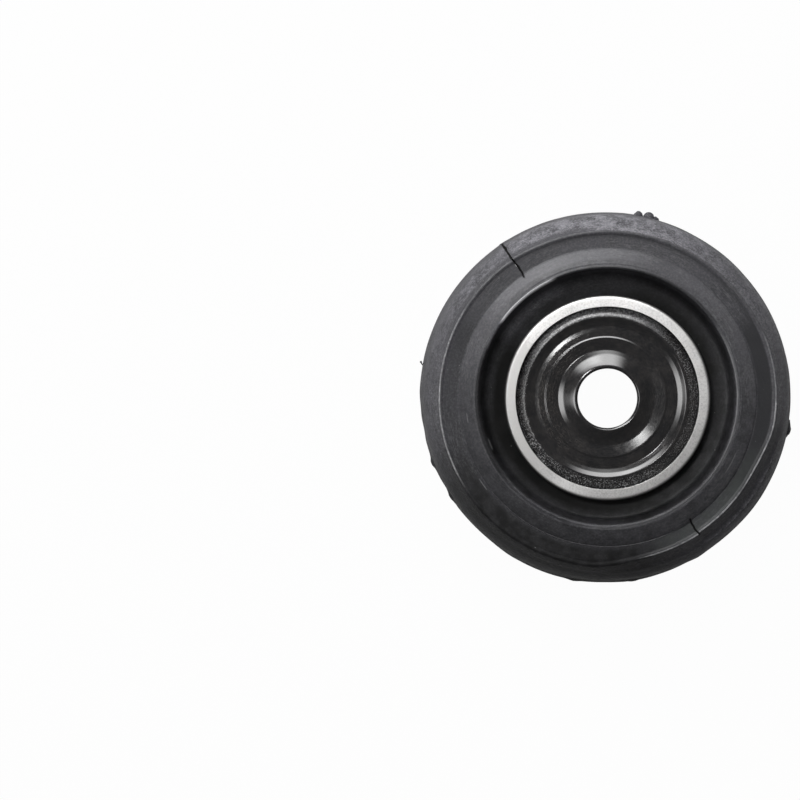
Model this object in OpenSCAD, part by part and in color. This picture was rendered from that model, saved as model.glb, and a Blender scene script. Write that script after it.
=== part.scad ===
// Strut mount: a bell of moulded rubber bonded to a steel seat ring and a pressed centre plate.
// The lip of the bell rests on z = 0, and the ring that carries the strut bearing faces +Z.

/* [Seat ring] */
// Outer diameter of the steel ring
ring_d = 64.2; // [62:0.1:66]
// Wall of the steel ring
ring_wall = 3.4; // [2.8:0.1:4]
// Height of the steel ring
ring_h = 8; // [7:0.1:10]
// Rounding of the ring's outer top edge
ring_edge_r = 1.2; // [0.5:0.1:1.6]
// Chamfer of the ring's inner top edge
ring_chamfer = 0.4; // [0.2:0.1:0.8]

/* [Centre plate] */
// Diameter of the hole for the piston rod
hole_d = 18.6; // [16:0.1:20]
// Thickness of the pressed sheet
sheet_t = 3.2; // [2.5:0.1:3.6]
// Rounding of the hole's upper edge
hole_edge_r = 1; // [0.5:0.1:1.3]
// Rounding of the hole's lower edge
hole_burr_r = 0.4; // [0.2:0.1:0.6]
// Step from the ring's top face down to the plate's edge
plate_drop = 2; // [1.6:0.1:2.6]
// Width of the nose round the hole
nose_w = 2.1; // [1.8:0.1:2.8]
// Height of the nose above the plate's edge
nose_h = 1.8; // [1.4:0.1:2.2]
// Fall of the nose towards its outer corner
nose_fall = 0.4; // [0.1:0.1:0.6]
// Width of the slope from the nose to the valley
nose_slope_w = 3.8; // [3.2:0.1:4.4]
// Depth of the valley below the plate's edge
valley_depth = 0.5; // [0.2:0.1:0.8]
// Height of the inner ridge above the plate's edge
ridge_h = 0.3; // [0.1:0.1:0.6]
// Width from the inner ridge to the crease
ridge_w = 1.6; // [1.2:0.1:2]
// Depth of the crease below the plate's edge
crease_depth = 0.1; // [0:0.1:0.2]
// Width from the crease to the bottom of the outer groove
crease_w = 1.5; // [1.2:0.1:1.9]
// Depth of the outer groove below the plate's edge
groove_depth = 0.4; // [0.3:0.1:0.8]
// Width from the outer groove to the rim's crest
groove_w = 3; // [2.4:0.1:3.4]
// Height of the rim's crest above the plate's edge
crest_h = 1; // [0.6:0.1:1.4]
// Width from the rim's crest to the ring
rim_w = 3.3; // [2.8:0.1:3.8]

/* [Rubber, ring side] */
// Height of the rubber on the ring's outer wall, above the ring's foot
bond_h = 1.8; // [1.2:0.1:2.6]
// Width of the trench round the ring
trench_w = 6.1; // [5.2:0.1:7]
// Rise of the trench floor away from the ring
trench_rise = 0.9; // [0.4:0.1:1.6]
// Lean of the crown's inner wall
crown_lean = 1.9; // [1:0.1:2.6]
// Height of the crown above the foot of the trench
crown_h = 5.4; // [4.4:0.1:6.6]
// Fall of the crown towards the ledge
crown_fall = 3; // [2.2:0.1:3.6]
// Step between the crown and the ledge
ledge_step = 0.4; // [0.2:0.1:0.8]
// Width of the ledge between the crown and the bead
ledge_w = 5.9; // [4.8:0.1:6.8]
// Width of the bead along the ledge's outer edge
bead_w = 0.9; // [0.6:0.1:1.4]
// Height of the bead above the ledge
bead_h = 0.3; // [0.2:0.1:0.6]

/* [Rubber, skirt and cup] */
// Diameter at the widest line, where the mould halves meet
widest_d = 120; // [116:0.5:126]
// Height of the middle of the widest band above the lip
widest_z = 7; // [5.5:0.1:9]
// Height of the widest band
widest_band = 2; // [1:0.1:3]
// Width of the skirt's flank, from the bead to the widest line
flank_w = 6.8; // [5.5:0.1:8]
// Width of the steep foot of the flank
foot_w = 2.1; // [1.4:0.1:3]
// Fall of the flank's upper cone below the bead
cone_fall = 8; // [6:0.1:10]
// Step from the widest line in to the lip
lip_inset = 2.2; // [1.6:0.1:3]
// Width of the flat lip
lip_w = 2.9; // [2.2:0.1:3.6]
// Taper of the cup's inner wall
cup_taper = 2.6; // [1.5:0.1:3]
// Thickness of the web between the ledge and the valley inside the cup
web_t = 3.9; // [3.4:0.1:4.6]
// Depth of the cup from the lip to its floor
floor_depth = 21; // [19:0.1:22]
// Diameter of the opening in the cup's floor
hub_d = 36.4; // [34:0.1:39]
// Thickness of the rubber skin under the steel ring
skin_t = 2; // [1.6:0.1:3]

/* [Pads and moulding marks] */
// Step from the ring's outer wall out to the pads
pad_step = 2.6; // [2:0.1:3.6]
// Width of a pad
pad_w = 6.2; // [5.5:0.1:7]
// Height of a pad above the cup's floor
pad_h = 1.5; // [0.8:0.1:2]
// Width of the slope from a pad's outer edge to the valley
pad_slope_w = 4.3; // [3.6:0.1:4.8]
// Width of a slot between two pads
slot_w = 5; // [4:0.1:6]
// Diameter of a locating-pin hole in the cup's floor
pin_d = 5.6; // [4.5:0.1:6.5]
// Step from the ring's inner wall in to the middle of a pin hole
pin_inset = 0.6; // [0:0.1:1.2]
// Height of a pin hole above the ring's foot, inside the ring
pin_step = 1; // [0.4:0.1:2]
// Diameter of a dimple on a pad
dimple_d = 4.4; // [3.4:0.1:5]
// Depth of a dimple
dimple_depth = 0.7; // [0.3:0.1:1]
// Step from a pad's inner edge to the middle of its dimple
dimple_inset = 3.1; // [2.6:0.1:3.6]
// Width of a circular line in the cup's floor
line_w = 0.6; // [0.4:0.1:1]
// Depth of a circular line
line_depth = 0.4; // [0.2:0.1:0.8]
// Step from the floor's opening out to the inner line
line_step = 5; // [4:0.1:6]

/* [Hidden] */
$fn = 96;
eps = 0.01;

// Roundings of the outlines' corners, in the order that the outlines use them
plate_rounds = [2.5, 1.6, 0.4, 0.2, 1.5, 2.2];
crown_round = 1.2;
trench_round = 2;
step_round = 0.25;
bead_round = 0.25;
shoulder_round = 12;
widest_round = 1;
lip_round = 0.6;
valley_outer_round = 3.2;
valley_inner_round = 2.2;
floor_round = 1.6;
hub_round = 0.5;
pad_round = 0.8;

slot_count = 3;
slot_angle = 113.5;
pin_count = 6;
pin_angle = 3.5;
dimple_turn = [18, 9, 9];

// Heights of the steel pieces
ring_z = floor_depth + skin_t;
ring_top = ring_z + ring_h;
plate_z = ring_top - plate_drop;
nose_z = plate_z + nose_h;
pad_z = floor_depth - pad_h;

// Radii of the steel pieces
ring_r = ring_d / 2;
seat_r = ring_r - ring_wall;
hole_r = hole_d / 2;
rim_r = seat_r - rim_w;
groove_r = rim_r - groove_w;
crease_r = groove_r - crease_w;
ridge_r = crease_r - ridge_w;
nose_r = hole_r + nose_w;
valley_r = nose_r + nose_slope_w;
pin_r = seat_r - pin_inset;

// Heights of the rubber
bond_z = ring_z + bond_h;
crown_z = bond_z + crown_h;
ledge_z = crown_z - crown_fall - ledge_step;
bead_z = ledge_z + bead_h;
cone_z = bead_z - cone_fall;
cup_z = ledge_z - web_t;

// Radii of the rubber
hub_r = hub_d / 2;
trench_out_r = ring_r + trench_w;
crown_in_r = trench_out_r + crown_lean;
widest_r = widest_d / 2;
bead_out_r = widest_r - flank_w;
bead_in_r = bead_out_r - bead_w;
ledge_in_r = bead_in_r - ledge_w;
cone_r = widest_r - foot_w;
lip_out_r = widest_r - lip_inset;
lip_in_r = lip_out_r - lip_w;
cup_r = lip_in_r - cup_taper;
pad_in_r = ring_r + pad_step;
pad_out_r = pad_in_r + pad_w;
cup_in_r = pad_out_r + pad_slope_w;
// Radius of the slope from the pads to the valley at a height
function slope_r(z) = pad_out_r + pad_slope_w * (z - pad_z) / (cup_z - pad_z);
// Where the pads' root lies in the rubber, and where the slope meets the floor in the slots
root_z = floor_depth + pad_h;
floor_out_r = slope_r(floor_depth);

function unit(v) = v / norm(v);
function turn(a) = a > 180 ? a - 360 : a < -180 ? a + 360 : a;
function flat(p) = [p.x, p.y];

// Points of the corner at q, whose third number is its rounding, between its neighbours p and s
function corner(p, q, s) =
    let (
        to_p = flat(p) - flat(q),
        to_s = flat(s) - flat(q),
        half = acos(max(-1, min(1, unit(to_p) * unit(to_s)))) / 2,
        room = 0.48 * min(norm(to_p), norm(to_s)),
        reach = min(q.z / tan(half), room),
        r = reach * tan(half),
        middle = flat(q) + unit(unit(to_p) + unit(to_s)) * r / sin(half),
        arm_p = flat(q) + unit(to_p) * reach - middle,
        arm_s = flat(q) + unit(to_s) * reach - middle,
        start = atan2(arm_p.y, arm_p.x),
        sweep = turn(atan2(arm_s.y, arm_s.x) - start),
        steps = max(2, ceil(abs(sweep) / 15))
    )
    q.z == 0 ? [flat(q)] :
    [for (k = [0:steps]) middle + r * [cos(start + sweep * k / steps), sin(start + sweep * k / steps)]];

// An outline of [radius, height, rounding] corners as plain points
function rounded(outline) =
    let (n = len(outline))
    [for (k = [0:n - 1]) each corner(outline[(k + n - 1) % n], outline[k], outline[(k + 1) % n])];

// Upper line of the pressed plate between the hole and the ring
plate_line = [
    [nose_r, nose_z - nose_fall, plate_rounds[0]],
    [valley_r, plate_z - valley_depth, plate_rounds[1]],
    [ridge_r, plate_z + ridge_h, plate_rounds[2]],
    [crease_r, plate_z - crease_depth, plate_rounds[3]],
    [groove_r, plate_z - groove_depth, plate_rounds[4]],
    [rim_r, plate_z + crest_h, plate_rounds[5]]
];
plate_low = [for (k = [len(plate_line) - 1:-1:0]) plate_line[k] - [0, sheet_t, 0]];

module plate_section() {
    polygon(rounded(concat(
        [[hole_r, nose_z, hole_edge_r]],
        plate_line,
        [[seat_r, plate_z, 0], [seat_r, plate_z - sheet_t, 0]],
        plate_low,
        [[hole_r, nose_z - sheet_t, hole_burr_r]]
    )));
}

// All that lies above the underside of the plate, where there is no rubber
module above_plate_section() {
    polygon(rounded(concat(
        [[hole_r, nose_z, 0], [seat_r, nose_z, 0], [seat_r, plate_z - sheet_t, 0]],
        plate_low,
        [[hole_r, nose_z - sheet_t, hole_burr_r]]
    )));
}

module ring_section() {
    polygon(rounded([
        [seat_r, ring_z, 0],
        [ring_r, ring_z, 0],
        [ring_r, ring_top, ring_edge_r],
        [seat_r + ring_chamfer, ring_top, 0],
        [seat_r, ring_top - ring_chamfer, 0]
    ]));
}

// The bell before the room of the steel is taken out of it
module bell_section() {
    polygon(rounded([
        [ring_r, bond_z, 0],
        [trench_out_r, bond_z + trench_rise, trench_round],
        [crown_in_r, crown_z, crown_round],
        [ledge_in_r, ledge_z + ledge_step, step_round],
        [ledge_in_r + ledge_step, ledge_z, step_round],
        [bead_in_r, ledge_z, step_round],
        [bead_in_r + bead_h, bead_z, bead_round],
        [bead_out_r, bead_z, bead_round],
        [cone_r, cone_z, shoulder_round],
        [widest_r, widest_z + widest_band / 2, widest_round],
        [widest_r, widest_z - widest_band / 2, widest_round],
        [lip_out_r, 0, lip_round],
        [lip_in_r, 0, lip_round],
        [cup_r, cup_z, valley_outer_round],
        [cup_in_r, cup_z, valley_inner_round],
        [floor_out_r, floor_depth, floor_round],
        [hub_r, floor_depth, hub_round],
        [hub_r, plate_z, 0],
        [ring_r - ring_wall / 2, plate_z, 0],
        [ring_r - ring_wall / 2, bond_z, 0]
    ]));
}

module pad_section() {
    polygon(rounded([
        [pad_in_r, root_z, 0],
        [pad_in_r, pad_z, pad_round],
        [pad_out_r, pad_z, pad_round],
        [slope_r(root_z), root_z, 0]
    ]));
}

// The raised ring of pads, parted by the slots
module pads() {
    difference() {
        rotate_extrude() pad_section();
        for (k = [0:slot_count - 1])
            rotate(slot_angle + k * 360 / slot_count)
                translate([pad_in_r - eps, -slot_w / 2, pad_z - eps])
                    cube([slope_r(root_z) + eps - pad_in_r + eps, slot_w, root_z - pad_z + 2 * eps]);
    }
}

// Marks of the pins that held the ring's foot and its inner wall in the mould
module pin_holes() {
    for (k = [0:pin_count - 1])
        rotate(pin_angle + k * 360 / pin_count)
            translate([pin_r, 0, pad_z])
                cylinder(d = pin_d, h = ring_z + pin_step - pad_z);
}

module dimples() {
    for (k = [0:slot_count - 1])
        rotate(slot_angle + dimple_turn[k] + k * 360 / slot_count)
            translate([pad_in_r + dimple_inset, 0, pad_z - eps])
                cylinder(d = dimple_d, h = dimple_depth + eps);
}

module floor_line(r) {
    rotate_extrude()
        polygon([
            [r - line_w / 2, floor_depth - eps],
            [r + line_w / 2, floor_depth - eps],
            [r, floor_depth + line_depth]
        ]);
}

module rubber_body() {
    color("dimgray")
        difference() {
            union() {
                rotate_extrude()
                    difference() {
                        bell_section();
                        above_plate_section();
                        ring_section();
                    }
                pads();
            }
            pin_holes();
            dimples();
            floor_line(pin_r);
            floor_line(hub_r + line_step);
        }
}

module centre_plate() {
    color([0.08, 0.08, 0.09])
        rotate_extrude() plate_section();
}

module seat_ring() {
    color("gainsboro")
        rotate_extrude() ring_section();
}

rubber_body();
centre_plate();
seat_ring();
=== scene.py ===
import math

import bmesh
import bpy
from mathutils import Matrix, Vector, noise


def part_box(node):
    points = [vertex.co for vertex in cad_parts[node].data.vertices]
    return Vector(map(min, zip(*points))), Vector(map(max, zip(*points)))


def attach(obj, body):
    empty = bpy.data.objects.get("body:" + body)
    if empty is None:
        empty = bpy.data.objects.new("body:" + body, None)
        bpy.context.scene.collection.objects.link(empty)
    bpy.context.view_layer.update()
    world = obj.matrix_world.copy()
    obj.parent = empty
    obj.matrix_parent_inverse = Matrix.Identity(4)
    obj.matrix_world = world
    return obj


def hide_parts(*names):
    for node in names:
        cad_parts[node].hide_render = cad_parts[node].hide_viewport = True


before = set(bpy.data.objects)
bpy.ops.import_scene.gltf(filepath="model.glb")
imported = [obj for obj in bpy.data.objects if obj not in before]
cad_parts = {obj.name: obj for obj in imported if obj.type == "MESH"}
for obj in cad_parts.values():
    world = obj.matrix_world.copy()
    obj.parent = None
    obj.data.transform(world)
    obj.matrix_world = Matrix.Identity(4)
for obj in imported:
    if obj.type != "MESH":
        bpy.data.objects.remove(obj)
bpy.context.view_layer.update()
mm = 0.001
print("frame loaded")

# sizes are in mm: radius out from the rod's axis, and height above the lip
# angles are in degrees round the axis
ringFoot, ringTop = (corner[2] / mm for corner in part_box("seat_ring"))
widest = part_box("rubber_body")[1][0] / mm
samePoint, sameHeight = 1e-7, 1e-6  # in m
smoothTo = 38  # a sharper fold stays an edge
seedStep = (13.7, -5.1, 2.3)  # how far apart the noise of two seeds is read
cornerSet = {"sideShare": 0.48, "segmentDegrees": 9}
white = (1, 1, 1, 1)


def at(r, angle, z):
    a = math.radians(angle)
    return Vector((r * math.cos(a), r * math.sin(a), z)) * mm


def blend(value, low, high):
    # 0 at low and 1 at high
    t = min(1, max(0, (value - low) / (high - low)))
    return t * t * (3 - 2 * t)


def towards(angle, centre):
    return math.cos(math.radians(angle - centre))


def near(angle, centre, half, soft):
    # 1 within half of the centre, and 0 further than soft beyond that
    return blend(towards(angle, centre), towards(half + soft, 0), towards(half, 0))


def peak(angle, centre, half):
    off = abs((angle - centre + 180) % 360 - 180)
    return max(0, 1 - off / half)


def wave(x, y, z, seed):
    return noise.noise(Vector([part + step * seed for part, step in zip((x, y, z), seedStep)]))


def flatWave(x, y, length, seed, level=0):
    return wave(x / length, y / length, level, seed)


def roomAt(corners):
    # how far each corner's rounding reaches along its two sides, and its number of segments
    reaches = []
    for k, (r, z, rounding) in enumerate(corners):
        here = Vector((r, z))
        back = Vector(corners[k - 1][:2]) - here
        ahead = Vector(corners[(k + 1) % len(corners)][:2]) - here
        half = back.angle(ahead) / 2
        most = cornerSet["sideShare"] * min(back.length, ahead.length)
        reach = min(rounding / math.tan(half), most) if rounding else 0
        segments = math.ceil((math.pi - 2 * half) / math.radians(cornerSet["segmentDegrees"]))
        reaches.append((reach, max(2, segments)))
    return reaches


def sectionFace(corners):
    # a flat section in the XZ plane from rows of radius, height and rounding
    bm = bmesh.new()
    points = [bm.verts.new((r * mm, 0, z * mm)) for r, z, _ in corners]
    bm.faces.new(points)
    for point, (reach, segments) in zip(points, roomAt(corners)):
        if reach > 0:
            bmesh.ops.bevel(bm, geom=[point], offset=reach * mm, offset_type="OFFSET", affect="VERTICES",
                            segments=segments, profile=0.5, material=-1)
    return bm


def cutLong(bm, longest):
    byCuts = {}
    for edge in bm.edges:
        byCuts.setdefault(math.ceil(edge.calc_length() / (longest * mm)) - 1, []).append(edge)
    for cuts, group in byCuts.items():
        if cuts > 0:
            bmesh.ops.subdivide_edges(bm, edges=group, cuts=cuts)


def turned(corners, steps, longest=100):
    # a full turn of the section about the rod's axis
    bm = sectionFace(corners)
    bmesh.ops.delete(bm, geom=bm.faces[:], context="FACES_ONLY")
    cutLong(bm, longest)
    bmesh.ops.spin(bm, geom=bm.verts[:] + bm.edges[:], cent=(0, 0, 0), axis=(0, 0, 1), dvec=(0, 0, 0),
                   angle=math.tau, steps=steps, use_merge=True)
    bmesh.ops.remove_doubles(bm, verts=bm.verts[:], dist=samePoint)
    bmesh.ops.recalc_face_normals(bm, faces=bm.faces[:])
    return bm


def asObject(name, bm, sharp=smoothTo):
    mesh = bpy.data.meshes.new(name)
    bm.to_mesh(mesh)
    bm.free()
    mesh.shade_smooth()
    mesh.set_sharp_from_angle(angle=math.radians(sharp))
    piece = bpy.data.objects.new(name, mesh)
    bpy.context.scene.collection.objects.link(piece)
    return piece


def shaped(piece, tools, operation):
    # joins or cuts one piece with others, which are then gone
    for tool in tools:
        step = piece.modifiers.new(operation, "BOOLEAN")
        step.operation = operation
        step.solver = "MANIFOLD"
        step.object = tool
    done = bpy.data.meshes.new_from_object(piece.evaluated_get(bpy.context.evaluated_depsgraph_get()))
    piece.modifiers.clear()
    old = piece.data
    piece.data = done
    bpy.data.meshes.remove(old)
    for tool in tools:
        bpy.data.meshes.remove(tool.data)


def turnedTo(bm, angle, r=0, z=0):
    # swings a mesh from the X axis to its angle, and sets it out at a radius and a height
    swing = Matrix.Rotation(math.radians(angle), 3, "Z")
    bmesh.ops.rotate(bm, verts=bm.verts[:], cent=(0, 0, 0), matrix=swing)
    bmesh.ops.translate(bm, verts=bm.verts[:], vec=at(r, angle, z))
    return bm


# camera: almost straight above, a little left of and above the axis
cameraSet = {"place": (-22.1, 13.6, 675), "focalPx": 2056, "widestAtPx": (604.7, 396.6), "widestZ": 7,
             "sensor": 36, "middlePx": 400}
camera = bpy.data.cameras.new("camera")
camera.lens = cameraSet["focalPx"] * cameraSet["sensor"] / (2 * cameraSet["middlePx"])
camera.sensor_width = cameraSet["sensor"]
cameraObject = bpy.data.objects.new("camera", camera)
cameraObject.location = Vector(cameraSet["place"]) * mm
acrossPx, downPx = cameraSet["widestAtPx"]
atPx = Vector((acrossPx - cameraSet["middlePx"], cameraSet["middlePx"] - downPx, -cameraSet["focalPx"]))
toWidest = Vector((0, 0, cameraSet["widestZ"] * mm)) - cameraObject.location
cameraObject.rotation_mode = "QUATERNION"
cameraObject.rotation_quaternion = atPx.rotation_difference(toWidest)
bpy.context.scene.collection.objects.link(cameraObject)
bpy.context.scene.camera = cameraObject
print("camera set")

# rubber bell
bell = {
    "outer": widest - 0.33, "widestLow": 6, "widestHigh": 8, "coneR": 57.7, "coneZ": 19.1, "shoulder": 12,
    "beadOut": 52.9, "beadIn": 51.6, "beadH": 0.25, "beadRise": 0.7,
    "ledge": 26.8, "ledgeIn": 46.4, "step": 0.4,
    "crownR": 40.1, "crownZ": 30.2, "browRise": 0.2, "browW": 0.5, "crownLip": 0.7, "lipFall": 0.35,
    "lipFoot": 0.4, "trenchR": 38.2, "trenchZ": 25.7, "bondZ": 24.8,
    "lipOut": 57.8, "lipIn": 54.9, "cupR": 52.3, "cupZ": 22.9, "cupInR": 45.2, "floorOutR": 42.8, "floorZ": 21,
    "pinR": 28.1, "lineR": 23.2, "lineHalf": 0.3, "lineDepth": 0.45, "hubR": 18.2, "hubTop": 26.0,
    "ringR": 32.1, "seatR": 28.7, "seatZ": 25.2,
    "underPlate": ((19.3, 26.0), (20.9, 25.6), (22.4, 25.3), (24.9, 26.1), (26, 26.2)),  # hidden, on the steel
    "longest": 1.1, "steps": 300,
}
b = bell
browR = b["crownR"] + b["crownLip"]
bellSection = [
    (b["ringR"], b["bondZ"], 0), (b["trenchR"], b["trenchZ"], 2),
    (b["crownR"], b["crownZ"] - b["browRise"], 0.4),
    (b["crownR"] + b["browW"], b["crownZ"], 0.2), (browR + b["browW"], b["crownZ"] - b["lipFall"], 0.2),
    (browR + 2 * b["browW"], b["crownZ"] - b["lipFoot"], 0.5), (b["ledgeIn"], b["ledge"] + b["step"], 0.4),
    (b["ledgeIn"] + b["step"], b["ledge"], 0.3), (b["beadIn"], b["ledge"], 0.3),
    (b["beadIn"] + b["beadRise"], b["ledge"] + b["beadH"], 0.4), (b["beadOut"], b["ledge"] + b["beadH"], 0.35),
    (b["coneR"], b["coneZ"], b["shoulder"]), (b["outer"], b["widestHigh"], 1), (b["outer"], b["widestLow"], 1),
    (b["lipOut"], 0, 0.6), (b["lipIn"], 0, 0.6), (b["cupR"], b["cupZ"], 3.2), (b["cupInR"], b["cupZ"], 2.2),
    (b["floorOutR"], b["floorZ"], 1.6),
]
for lineR in (b["pinR"], b["lineR"]):
    bellSection += [(lineR + b["lineHalf"], b["floorZ"], 0.1), (lineR, b["floorZ"] + b["lineDepth"], 0.12),
                    (lineR - b["lineHalf"], b["floorZ"], 0.1)]
bellSection += [(b["hubR"], b["floorZ"], 0.5), (b["hubR"], b["hubTop"], 0)]
bellSection += [(r, z, 0) for r, z in b["underPlate"]]
bellSection += [(b["seatR"], b["seatZ"], 0), (b["seatR"], ringFoot, 0), (b["ringR"], ringFoot, 0)]
bellMesh = turned(bellSection, bell["steps"], bell["longest"])

# what the mould and the trimming knife left; a pair of radii or heights is where it starts and where it is full
moulding = {
    # the mould's two halves stood a little apart, along the line where they met
    "seam": 124, "mismatch": 0.45, "mismatchR": (44.5, 46.4), "mismatchZ": (8, 20),
    # skirt and crown are a little out of centre
    "skirtShift": (-0.25, -0.17), "skirtR": (55.6, 57.4), "skirtZ": (21, 12),
    "crownShift": (-0.06, 0.35), "crownIn": (37.5, 39.5), "crownOut": (45.5, 43),
    # angle, half, soft, step: the ledge's edge runs further in
    "innerEdges": ((308, 22, 22, 1.6), (75, 30, 28, 0.75)), "edgeFoot": 1,
    # angle, half, soft: here it is rounded off
    "wornEdge": (250, 26, 14), "edgeFall": 0.26, "edgeMiddle": 0.3, "edgeReach": (1.5, 0.2), "edgeOver": 24,
    # angle, half, soft: here the crown runs smoothly into the ledge
    "softStep": (245, 42, 25), "stepFall": 0.36, "stepR": (43.8, 46.2),
    # angle, size, half
    "burrs": ((201, 0.8, 2.2), (213, 0.75, 2.6), (260.5, 0.4, 2.8), (279, 0.3, 1.8), (123, 0.15, 2),
              (300, 0.25, 4)),
    "trims": ((186, 0.3, 8), (195, 0.34, 9), (208, 0.52, 9), (223, 0.42, 17), (64, 0.16, 16), (312, 0.1, 12)),
    "bulge": (270, 0.42, 28), "burrDeep": 0.6, "burrTall": 1.5, "trimDeep": (2.4, 0.9), "trimTop": 15,
    # size, length, seed of the unevenness
    "skinWaves": ((0.05, 14, 1), (0.025, 4, 2)), "lineWave": (0.1, 9, 5), "lineLevel": 0.3,
    "liftWave": (0.05, 11, 7), "liftLevel": 0.7, "liftZ": (20, 24),
    # torn edge of the skin on the plate
    "flapWave": (2.2, 8, 4), "ragWave": (0.3, 3.6, 3), "ragTall": 9, "fringeWave": (0.18, 0.9, 6),
    "tearDeep": 0.6, "tearTall": 4.4,
    "overCup": 0.4, "offRing": 1, "slack": 0.2, "clear": 0.02,
}
m = moulding
along = at(1, m["seam"], 0) / mm
trimFrom, trimFull = (b["outer"] - deep for deep in m["trimDeep"])
lineSize, lineLength, lineSeed = m["lineWave"]
liftSize, liftLength, liftSeed = m["liftWave"]
flapSize, flapLength, flapSeed = m["flapWave"]
ragSize, ragLength, ragSeed = m["ragWave"]
fringeSize, fringeLength, fringeSeed = m["fringeWave"]
bulgeAt, bulgeSize, bulgeHalf = m["bulge"]
for vert in bellMesh.verts:
    x, y, z = vert.co / mm
    r, angle = math.hypot(x, y), math.degrees(math.atan2(y, x)) % 360
    outward = Vector((x / r, y / r, 0))
    ringSide = z > b["cupZ"] + m["overCup"] and r > b["ringR"] + m["offRing"] or r > m["skirtR"][0]
    push = lift = 0
    if ringSide or z < b["floorZ"] + m["slack"]:  # soft unevenness
        push = sum(size * wave(x / length, y / length, z / length, seed)
                   for size, length, seed in m["skinWaves"])
    if abs(r - b["hubR"]) < m["tearDeep"] and z < b["floorZ"] + m["tearTall"]:
        flap = max(0, flatWave(x, y, flapLength, flapSeed)) ** 2 * flapSize
        rag = ragSize * wave(x / ragLength, y / ragLength, z / m["ragTall"], ragSeed)
        push += rag + fringeSize * flatWave(x, y, fringeLength, fringeSeed) + flap
    onLine = b["widestLow"] - m["burrTall"] < z < b["widestHigh"] + m["burrTall"]
    if r > b["outer"] - m["burrDeep"] and onLine:  # edge along the widest line
        push += lineSize * flatWave(x, y, lineLength, lineSeed, m["lineLevel"])
        push += sum(size * peak(angle, where, half) for where, size, half in m["burrs"])
        push += bulgeSize * near(angle, bulgeAt, 0, bulgeHalf)
    if r > trimFrom and z < m["trimTop"]:
        cut = sum(size * near(angle, where, 0, half) for where, size, half in m["trims"])
        push -= cut * blend(r, trimFrom, trimFull)
    move = outward * push
    if ringSide:
        edge = blend(r, b["ledgeIn"], b["beadIn"]) if r < b["beadOut"] else blend(r, b["coneR"], b["beadOut"])
        edge *= z > b["coneZ"] - m["edgeFoot"]
        inward = sum(step * near(angle, *where) for *where, step in m["innerEdges"])
        move -= outward * inward * edge
        lift = liftSize * flatWave(x, y, liftLength, liftSeed, m["liftLevel"]) * blend(z, *m["liftZ"])
        offEdge = abs(r - b["beadOut"] + m["edgeMiddle"])
        worn = near(angle, *m["wornEdge"]) * blend(offEdge, *m["edgeReach"]) * (z > m["edgeOver"])
        lift -= m["edgeFall"] * worn
        softened = near(angle, *m["softStep"]) * blend(r, *m["stepR"]) * (r < b["ledgeIn"] + m["slack"])
        lift -= m["stepFall"] * softened
        half = math.copysign(0.5, math.sin(math.radians(angle - m["seam"] - 180)))
        move += along * m["mismatch"] * half * blend(r, *m["mismatchR"]) * blend(z, *m["mismatchZ"])
        move += Vector((*m["crownShift"], 0)) * blend(r, *m["crownIn"]) * blend(r, *m["crownOut"])
        move += Vector((*m["skirtShift"], 0)) * blend(z, *m["skirtZ"]) * blend(r, *m["skirtR"])
    vert.co += (move + Vector((0, 0, lift))) * mm
    for k in (0, 1):  # stays inside the part's box
        vert.co[k] = max(-widest + m["clear"], min(widest - m["clear"], vert.co[k] / mm)) * mm
rubberBell = asObject("rubberBell", bellMesh)
print("bell turned:", len(rubberBell.data.polygons), "faces")

# pads parted by slots, inside the cup
padSet = {"inR": 34.7, "outR": 40.9, "rootR": 44.5, "top": 19.5, "root": 22.5,
          "slotAngles": (113.5, 233.5, 353.5), "slot": 5.0, "corner": 1.4, "cornerSegments": 5,
          "edge": 0.7, "edgeSegments": 4, "steps": 80, "flat": 0.9}
added = []
for k, angle in enumerate(padSet["slotAngles"]):
    gap = math.degrees(padSet["slot"] / (padSet["inR"] + padSet["outR"]) * 2)
    padTurn = math.radians(360 / len(padSet["slotAngles"]) - gap)
    bm = sectionFace([(padSet["inR"], padSet["root"], 0), (padSet["inR"], padSet["top"], 0),
                      (padSet["outR"], padSet["top"], 0), (padSet["rootR"], padSet["root"], 0)])
    turnedTo(bm, angle + gap / 2)
    bmesh.ops.spin(bm, geom=bm.verts[:] + bm.edges[:] + bm.faces[:], cent=(0, 0, 0), axis=(0, 0, 1),
                   dvec=(0, 0, 0), angle=padTurn, steps=padSet["steps"])
    bmesh.ops.remove_doubles(bm, verts=bm.verts[:], dist=samePoint)
    bmesh.ops.recalc_face_normals(bm, faces=bm.faces[:])
    upright = [e for e in bm.edges if abs(e.verts[0].co.z - e.verts[1].co.z) > mm
               and all(len(v.link_edges) == 3 for v in e.verts)]
    bmesh.ops.bevel(bm, geom=upright, offset=padSet["corner"] * mm, offset_type="OFFSET", affect="EDGES",
                    segments=padSet["cornerSegments"], profile=0.5, material=-1, clamp_overlap=True)
    top = padSet["top"] * mm
    rim = [e for e in bm.edges if all(abs(v.co.z - top) < sameHeight for v in e.verts)
           and any(abs(f.normal.z) < padSet["flat"] for f in e.link_faces)]
    bmesh.ops.bevel(bm, geom=rim, offset=padSet["edge"] * mm, offset_type="OFFSET", affect="EDGES",
                    segments=padSet["edgeSegments"], profile=0.5, material=-1, clamp_overlap=True)
    added.append(asObject("pad%d" % k, bm))

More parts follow.
